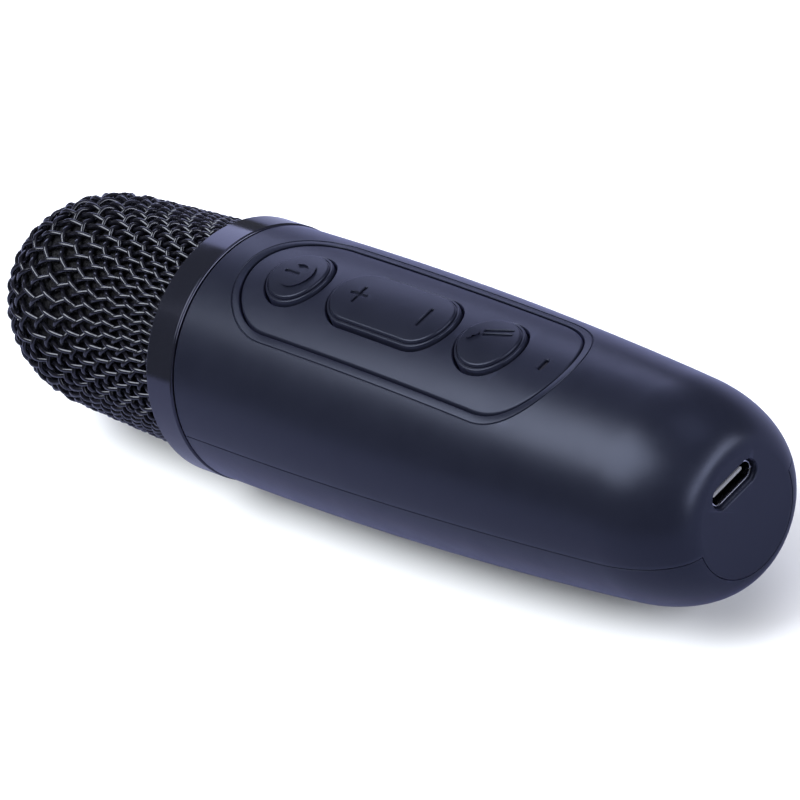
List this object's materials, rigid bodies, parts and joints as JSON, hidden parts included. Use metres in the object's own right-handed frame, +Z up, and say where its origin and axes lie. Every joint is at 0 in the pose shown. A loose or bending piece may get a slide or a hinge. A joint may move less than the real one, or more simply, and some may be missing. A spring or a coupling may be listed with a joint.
{
  "type": "karaoke microphone",
  "caption": "Cordless handheld karaoke microphone: domed wire grille, gloss collar, tapered two-part body with power, volume and mode keys, and a charging port in its flat end.",
  "frame": {"origin": "on the table under the middle of the microphone's length, with the microphone lying on its collar; its axis is 20.8 mm above the table", "axes": "+X along the axis from the grille to the flat end with the charging port, +Z up through the keys, +Y completes the right-handed frame"},
  "size_m": [0.158, 0.0416, 0.0419],
  "materials": {
    "shell_plastic": "satin",
    "panel_plastic": "satin",
    "key_plastic": "satin",
    "gloss_ring": "gloss",
    "grille_wire": "gloss black lacquer",
    "ring_metal": "machined",
    "foam": "open-cell foam",
    "frame_plastic": "matte",
    "soft_rubber": "matte",
    "capsule_can": "drawn can",
    "smoked_lens": "smoked clear",
    "led_body": "resin",
    "board_laminate": "solder mask",
    "switch_plastic": "matte",
    "plunger_plastic": "matte",
    "shield_tin": "tinned",
    "port_steel": "nickel plated",
    "tongue_plastic": "matte",
    "cell_sleeve": "shrink sleeve",
    "nickel": "nickel strip",
    "screw_steel": "zinc plated",
    "wire_red": "insulation",
    "wire_black": "insulation",
    "wire_white": "insulation"
  },
  "bodies": {
    "handle": {"front_shell": "shell_plastic", "back_shell": "shell_plastic", "control_panel": "panel_plastic", "led_guide": "smoked_lens", "status_led": "led_body", "main_board": "board_laminate", "switch_power": "switch_plastic", "switch_volume_up": "switch_plastic", "switch_volume_down": "switch_plastic", "switch_mode": "switch_plastic", "board_screw_1": "screw_steel", "board_screw_2": "screw_steel", "board_screw_3": "screw_steel", "board_screw_4": "screw_steel", "usb_shell": "port_steel", "usb_tongue": "tongue_plastic", "radio_module": "shield_tin", "antenna_wire": "wire_black", "battery_cell": "cell_sleeve", "battery_pad": "foam", "battery_tab_negative": "nickel", "battery_tab_positive": "nickel", "battery_lead_positive": "wire_red", "battery_lead_negative": "wire_black", "collar_ring": "gloss_ring", "head_frame": "frame_plastic", "capsule_grommet": "soft_rubber", "mic_capsule": "capsule_can", "capsule_lead_signal": "wire_white", "capsule_lead_ground": "wire_black"},
    "power_key": {"power_button": "key_plastic", "plunger_power": "plunger_plastic"},
    "mode_key": {"mode_button": "key_plastic", "plunger_mode": "plunger_plastic"},
    "volume_key": {"volume_rocker": "key_plastic"},
    "volume_up_plunger": {"plunger_volume_up": "plunger_plastic"},
    "volume_down_plunger": {"plunger_volume_down": "plunger_plastic"},
    "grille_head": {"grille_mesh": "grille_wire", "foam_windscreen": "foam", "grille_base_ring": "ring_metal"}
  },
  "joints": [
    {"name": "power_press", "type": "slide", "parent": "handle", "child": "power_key", "axis": [0, 0, -1], "range_m": [0, 0.0004], "stiffness_N_per_m": 4000},
    {"name": "mode_press", "type": "slide", "parent": "handle", "child": "mode_key", "axis": [0, 0, -1], "range_m": [0, 0.0004], "stiffness_N_per_m": 4000},
    {"name": "volume_tilt", "type": "hinge", "parent": "handle", "child": "volume_key", "pos_m": [0.0151, 0, 0.03596], "axis": [0, 1, 0], "range_deg": [-2, 2], "stiffness_Nm_per_rad": 0.5},
    {"name": "volume_up_press", "type": "slide", "parent": "handle", "child": "volume_up_plunger", "axis": [0, 0, -1], "range_m": [-0.0003, 0.0003]},
    {"name": "volume_down_press", "type": "slide", "parent": "handle", "child": "volume_down_plunger", "axis": [0, 0, -1], "range_m": [-0.0003, 0.0003]},
    {"name": "grille_unscrew", "type": "hinge", "parent": "handle", "child": "grille_head", "pos_m": [-0.05, 0, 0.0208], "axis": [-1, 0, 0], "range_deg": [0, 900]}
  ],
  "couplings": [
    {"joint": "volume_up_press", "follows": "volume_tilt", "m_per_rad": -0.008},
    {"joint": "volume_down_press", "follows": "volume_tilt", "m_per_rad": 0.008}
  ]
}
